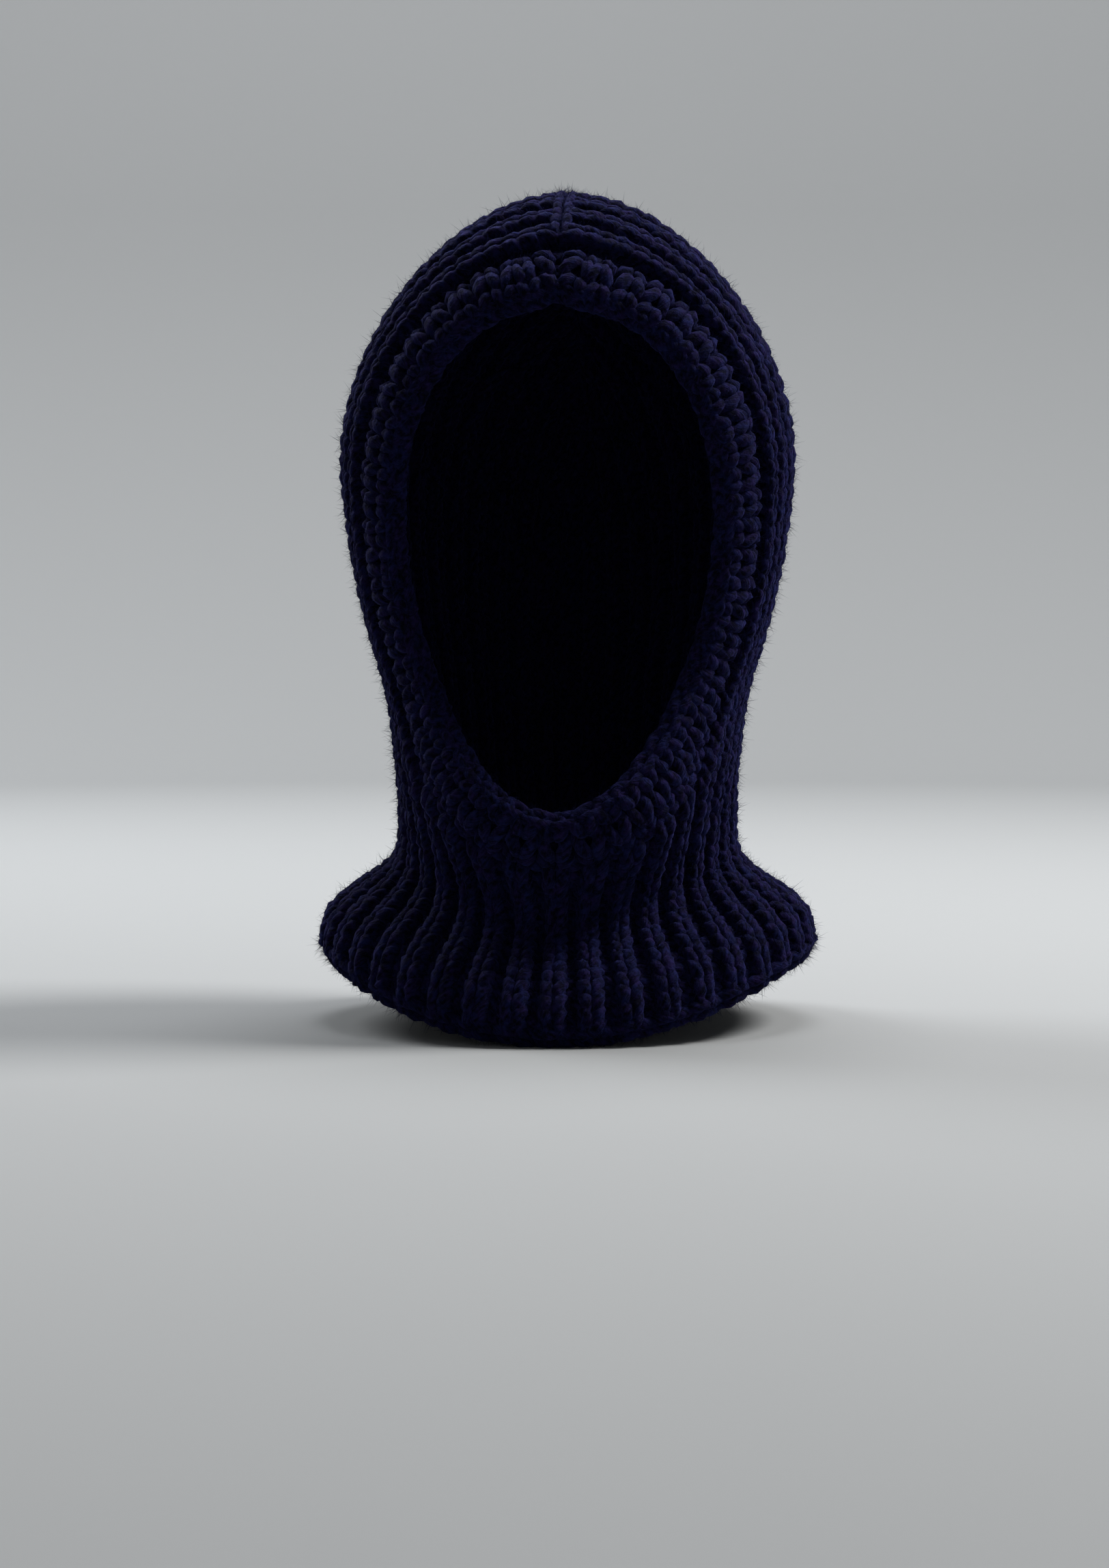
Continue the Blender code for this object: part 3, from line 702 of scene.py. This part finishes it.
def chain(guide, outwards, links, closed, width=1.0):
    """Control points of a chain of links along a guide line, whose links open outwards."""
    if closed:
        guide = np.concatenate([guide, guide[:1]])
        outwards = np.concatenate([outwards, outwards[:1]])
    both = np.concatenate([guide, outwards], axis=1)
    both = evenly(both, LINK_PLACES * links + 1)
    if closed:
        both = both[:-1]
    link = np.array(CHAIN_LINK)
    first = 0 if closed else 1
    number = np.arange(first, links - first)[:, None]
    at = (number + link[None, :, 0]) * LINK_PLACES
    at = at + random.normal(0, 0.25, at.shape)
    low = np.floor(at).astype(int)
    t = (at - low)[..., None]
    line = both[low % len(both)] * (1 - t) + both[(low + 1) % len(both)] * t
    ahead = both[(low + 2) % len(both), :3] - both[(low - 2) % len(both), :3]
    out = unit(line[..., 3:])
    side = unit(np.cross(ahead, out))
    across = 0.001 * width * link[:, 1] + random.normal(0, 0.00015, at.shape)
    up = 0.001 * link[:, 2] + random.normal(0, 0.00015, at.shape)
    points = line[..., :3] + across[..., None] * side + up[..., None] * out
    thick = np.broadcast_to(link[:, 3, None], points.shape[:2] + (1,))
    return np.concatenate([points, thick], axis=-1).reshape(1, -1, 4)


# ---- Pieces --------------------------------------------------------------------------------------
COOL = (0.80, 1.05, 1.05, 1.0)  # tints that the dye drifts between
WARM = (1.35, 0.85, 0.95, 1.0)


def noise(nodes, links, vector, scale, detail, roughness=0.5):
    texture = nodes.new("ShaderNodeTexNoise")
    texture.inputs["Scale"].default_value = scale
    texture.inputs["Detail"].default_value = detail
    texture.inputs["Roughness"].default_value = roughness
    links.new(vector, texture.inputs["Vector"])
    return texture.outputs["Fac"]


def ramp(nodes, links, factor, low, high):
    """A colour that goes from one to the other of two (place, colour) stops."""
    node = nodes.new("ShaderNodeValToRGB")
    for stop, (place, colour) in zip(node.color_ramp.elements, (low, high)):
        stop.position, stop.color = place, colour
    links.new(factor, node.inputs["Fac"])
    return node.outputs["Color"]


def wool(name, colour):
    """Soft plied wool: fibres that wind round the yarn, a colour that varies a little, and painted
    shade and highlight that follow the bumps.
    """
    material = bpy.data.materials.new(name)
    material.use_nodes = True
    nodes, links = material.node_tree.nodes, material.node_tree.links
    shader = nodes["Principled BSDF"]
    shader.inputs["Roughness"].default_value = 0.9
    shader.inputs["Sheen Weight"].default_value = 0.10
    shader.inputs["Sheen Roughness"].default_value = 0.45
    shader.inputs["Sheen Tint"].default_value = (0.17, 0.20, 0.82, 1.0)
    shader.inputs["Specular IOR Level"].default_value = 0.035

    lay = nodes.new("ShaderNodeAttribute")
    lay.attribute_name = "yarn"
    stretch = nodes.new("ShaderNodeMapping")
    stretch.inputs["Scale"].default_value = (1.0, 1.0, 0.12)
    links.new(lay.outputs["Vector"], stretch.inputs["Vector"])
    place = nodes.new("ShaderNodeTexCoord").outputs["Object"]
    fibres = noise(nodes, links, stretch.outputs["Vector"], 850.0, 4.0, 0.65)
    lumps = noise(nodes, links, place, 480.0, 3.0)
    drift = noise(nodes, links, place, 230.0, 3.0)

    height = nodes.new("ShaderNodeMix")  # half of the fibres and half of the lumps
    links.new(fibres, height.inputs["A"])
    links.new(lumps, height.inputs["B"])
    # The colour follows the bump's height: painted shade in its hollows, down to 0.22 of the wool's
    # colour, and painted highlight on its rises, up to 2.4 times it.
    painted_shade = (0.42, (*[0.22 * c for c in colour], 1.0))
    light = (0.60, (*[2.4 * c for c in colour], 1.0))
    toned = nodes.new("ShaderNodeMix")
    toned.data_type, toned.blend_type = "RGBA", "MULTIPLY"
    toned.inputs["Factor"].default_value = 1.0
    links.new(ramp(nodes, links, height.outputs["Result"], painted_shade, light), toned.inputs["A"])
    links.new(ramp(nodes, links, drift, (0.40, COOL), (0.62, WARM)), toned.inputs["B"])
    links.new(toned.outputs["Result"], shader.inputs["Base Color"])

    bump = nodes.new("ShaderNodeBump")
    bump.inputs["Strength"].default_value = 1.0
    bump.inputs["Distance"].default_value = 0.0016
    links.new(height.outputs["Result"], bump.inputs["Height"])
    links.new(bump.outputs["Normal"], shader.inputs["Normal"])
    return material


NAVY = (0.0030, 0.0030, 0.0168)
WOOL = wool("navy_wool", NAVY)


def finish_piece(piece, slot, *nodes):
    piece.data.materials.append(WOOL)
    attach(piece, "root")
    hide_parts(*nodes)


grid = fabric_grid()
neck = neck_fabric(grid)
hood = hood_fabric(grid)

for number, (first, end) in enumerate(zip(NECK_PIECES, NECK_PIECES[1:]), start=1):
    control = rib_rows(neck, np.arange(first, end), -HALF_RIBS + 0.5, HALF_RIBS)
    piece = yarn_mesh(
        f"neck_rows_{number}", control, closed=True, fuzz=NECK_FIBRES * (end - first)
    )
    finish_piece(piece, "ribbed_wool", "neck_tube")

control = rib_rows(neck, [-1], -HALF_RIBS + 0.5, HALF_RIBS, first_foot=0.45)
piece = yarn_mesh("neck_cast_on_row", control, closed=True, fuzz=CAST_ON_FIBRES)
finish_piece(piece, "ribbed_wool", "neck_tube")

for number, first in enumerate(range(0, HOOD_STITCHES, HOOD_PIECE_ROWS), start=1):
    control = rib_rows(hood, np.arange(first, first + HOOD_PIECE_ROWS), -OUTER_RIB, OUTER_RIB)
    fuzz = HOOD_FIBRES * HOOD_PIECE_ROWS
    piece = yarn_mesh(f"hood_rows_{number}", control, closed=False, fuzz=fuzz)
    finish_piece(piece, "ribbed_wool", "hood")

# A few stitches fill each corner where the hood's edge leaves the chin.
for side, rib in (("right", -SIDE_RIBS), ("left", SIDE_RIBS)):
    control = rib_rows(hood, np.arange(-1, 3), rib, rib)
    piece = yarn_mesh(f"chin_corner_{side}", control, closed=False, fuzz=CORNER_FIBRES)
    finish_piece(piece, "ribbed_wool", "hood")

control = band_rows(band_fabric())
piece = yarn_mesh("face_band_rows", control, closed=True, radius=BAND_YARN, fuzz=BAND_FIBRES)
finish_piece(piece, "band_wool", "face_band")

# The back of the band, whose bumps face inwards.
for number, distance in enumerate(BAND_BACK_AT, start=1):
    loop, normals = sunk_loop(distance, BAND_BACK_DEPTH)
    control = chain(loop, -normals, BAND_STITCHES, closed=True, width=1.5)
    piece = yarn_mesh(f"face_band_back_{number}", control, closed=True)
    finish_piece(piece, "band_wool", "face_band")

# The bound-off edge of the band, rolled inwards.
loop, normals = sunk_loop(BOUND_OFF_AT, BOUND_OFF_DEPTH)
to_opening = unit(face_loop(0.0) - face_loop(0.0050))
roll = unit(BOUND_OFF_TURN * normals + to_opening)
control = chain(loop, roll, BAND_STITCHES, closed=True)
piece = yarn_mesh(
    "face_band_bound_off_edge", control, closed=True, radius=EDGE_YARN, fuzz=EDGE_FIBRES
)
finish_piece(piece, "edge_wool", "face_band_bind_off")

# The chains under the band: the chin cast-off, and the edge that the band is picked up from.
groove, normals = sunk_loop(GROOVE_AT, GROOVE_DEPTH)
chin_points = round(CHIN_ARC / length(np.vstack([groove, groove[:1]])) * LOOP_POINTS)
for name, first, last, node in (
    ("chin_cast_off_chain", -chin_points - 2, chin_points + 2, "chin_cast_off"),
    ("pick_up_chain", chin_points - 1, LOOP_POINTS - chin_points + 1, "pick_up_ridge"),
):
    points = np.arange(first, last + 1) % LOOP_POINTS
    links = round(length(groove[points]) / GROOVE_LINK)
    control = chain(groove[points], normals[points], links, closed=False)
    finish_piece(yarn_mesh(name, control, closed=False), "edge_wool", node)

# The crown seam, which stands a little proud, and its back, which joins the ends of the rows.
profile = part_of(crown_profile(), 0.0, SEAM_LENGTH, 60)
normals = form_normal(profile)
control = chain(profile + SEAM_RISE * normals, normals, SEAM_LINKS, closed=False)
piece = yarn_mesh(
    "crown_seam_chain", control, closed=False, radius=SEAM_YARN, fuzz=SEAM_FIBRES
)
finish_piece(piece, "edge_wool", "crown_seam")
control = chain(
    profile - SEAM_BACK_DEPTH * normals, -normals, SEAM_LINKS, closed=False, width=1.6
)
piece = yarn_mesh("crown_seam_back", control, closed=False, radius=SEAM_BACK_YARN)
finish_piece(piece, "edge_wool", "crown_seam")

# The cast-on edge, a chain with a link to each stitch, in and out with the ribs.
number = np.arange(-RIBS, RIBS) / 2
row = np.full(len(number), HEM_CHAIN_ROW)
wave = HEM_WAVE * np.cos(2 * math.pi * number)
hem_points = neck.at(number, row, wave)
hem_out = neck.at(number, row, wave + 0.001) - hem_points
hem_down = hem_points - neck.at(number, 0 * row, wave)
outwards = unit(unit(hem_out) + unit(hem_down))
control = chain(hem_points, outwards, 2 * RIBS, closed=True, width=0.9)
piece = yarn_mesh("cast_on_chain", control, closed=True, fuzz=HEM_FIBRES)
finish_piece(piece, "edge_wool", "cast_on_hem")

# The woven-in ends of yarn, each lying in a furrow on the inside: fabric, rib, first and last row.
TAILS = {
    "hem": (neck, 0.0, 0.8, 9.3),
    "band": (hood, -OUTER_RIB, 1.5, 10.8),
    "hood": (hood, OUTER_RIB, 1.5, 10.8),
    "seam": (hood, 0.0, 23.0, 32.3),
}
for name, (fabric, rib, first, last) in TAILS.items():
    row = np.arange(first, last + 0.01, 0.5)
    wave = np.where(np.arange(len(row)) % 2, 1.0, -1.0)
    line = fabric.at(rib + TAIL_SWAY[1] * wave, row, TAIL_SWAY[0] * wave - TAIL_DEPTH)
    control = np.concatenate([line, np.ones((len(row), 1))], axis=1)[None]
    piece = yarn_mesh(f"woven_in_end_{name}", control, closed=False, radius=TAIL_YARN)
    finish_piece(piece, "tail_wool", f"yarn_tail_{name}")


# ---- Stage, light and camera ---------------------------------------------------------------------
TARGET = (0.0, 0.0, -0.12)
# Name, place, target, diameter, watts and colour.
LIGHTS = [
    ("window", (1.30, 0.30, 1.30), TARGET, 0.8, 61.0, (1.0, 0.99, 0.97)),
    ("left", (-1.20, 0.95, 1.0), TARGET, 1.0, 28.0, (0.97, 0.99, 1.0)),
    ("top", (0.1, 0.7, 1.8), TARGET, 1.2, 35.0, (0.97, 0.98, 1.0)),
    ("backdrop", (-0.4, 0.9, 1.5), (-0.6, 2.2, 0.6), 0.8, 16.0, (0.97, 0.98, 1.0)),
]
LENS = 93.5
CAMERA_TURN = math.radians(3.5)  # how far round towards +X it stands
CAMERA_TILT = math.radians(3.2)  # how far down it looks
CAMERA_AIM = (0.0, MID_Y, -0.1327)
CAMERA_DISTANCE = 1.6
CAMERA_ASIDE = 0.0052  # which puts the object a little right of the middle


def make_stage():
    """A round pale room: a flat floor that curves up into a wall all round, open at the top."""
    floor_z = cad_box[0][2] - 0.0008
    flat, cove, cove_steps, wall_top, around = 1.7, 0.5, 16, 2.6, 96
    profile = [(0.6, 0.0), (1.2, 0.0), (flat, 0.0)]
    for k in range(1, cove_steps + 1):
        a = math.pi / 2 * k / cove_steps
        profile.append((flat + cove * math.sin(a), cove * (1 - math.cos(a))))
    profile.append((flat + cove, wall_top))
    turn = 2 * math.pi * np.arange(around) / around
    circle = np.stack([np.cos(turn), np.sin(turn), 0 * turn], axis=1)
    rings = [r * circle + (0.0, 0.0, z + floor_z) for r, z in profile]
    vertices = np.concatenate([[(0.0, 0.0, floor_z)], *rings])
    k = np.arange(around)
    m = (k + 1) % around
    faces = [np.stack([0 * k, 1 + k, 1 + m], axis=1)]
    for r in range(len(rings) - 1):
        near, far = 1 + r * around, 1 + (r + 1) * around
        faces.append(np.stack([near + k, far + k, far + m, near + m], axis=1))
    floor = mesh_piece("studio_room", vertices, faces)
    material = bpy.data.materials.new("plain_paper")
    material.use_nodes = True
    shader = material.node_tree.nodes["Principled BSDF"]
    shader.inputs["Base Color"].default_value = (0.26, 0.266, 0.270, 1.0)
    shader.inputs["Roughness"].default_value = 0.95
    shader.inputs["Specular IOR Level"].default_value = 0.1
    floor.data.materials.append(material)


def make_light():
    for name, place, target, size, power, colour in LIGHTS:
        data = bpy.data.lights.new(name, "AREA")
        data.shape = "DISK"
        data.size = size
        data.energy = power
        data.color = colour
        light = bpy.data.objects.new(name, data)
        light.location = place
        aim = Vector(target) - Vector(place)
        light.rotation_euler = aim.to_track_quat("-Z", "Y").to_euler()
        bpy.context.scene.collection.objects.link(light)
    world = bpy.data.worlds.new("room")
    world.use_nodes = True
    background = world.node_tree.nodes["Background"]
    background.inputs["Color"].default_value = (0.9, 0.94, 1.0, 1.0)
    background.inputs["Strength"].default_value = 0.04
    bpy.context.scene.world = world


def make_camera():
    """The photograph's view: level with the middle of the face, from a little to one side."""
    data = bpy.data.cameras.new("camera")
    data.sensor_width = 36.0
    data.lens = LENS
    camera = bpy.data.objects.new("camera", data)
    sight = Vector((-math.sin(CAMERA_TURN), math.cos(CAMERA_TURN), 0.0))
    right = Vector((math.cos(CAMERA_TURN), math.sin(CAMERA_TURN), 0.0))
    camera.location = Vector(CAMERA_AIM) - CAMERA_DISTANCE * sight - CAMERA_ASIDE * right
    camera.rotation_euler = (math.pi / 2 - CAMERA_TILT, 0.0, CAMERA_TURN)
    bpy.context.scene.collection.objects.link(camera)
    bpy.context.scene.camera = camera


make_stage()
make_light()
make_camera()
bpy.context.scene.view_settings.view_transform = "Standard"
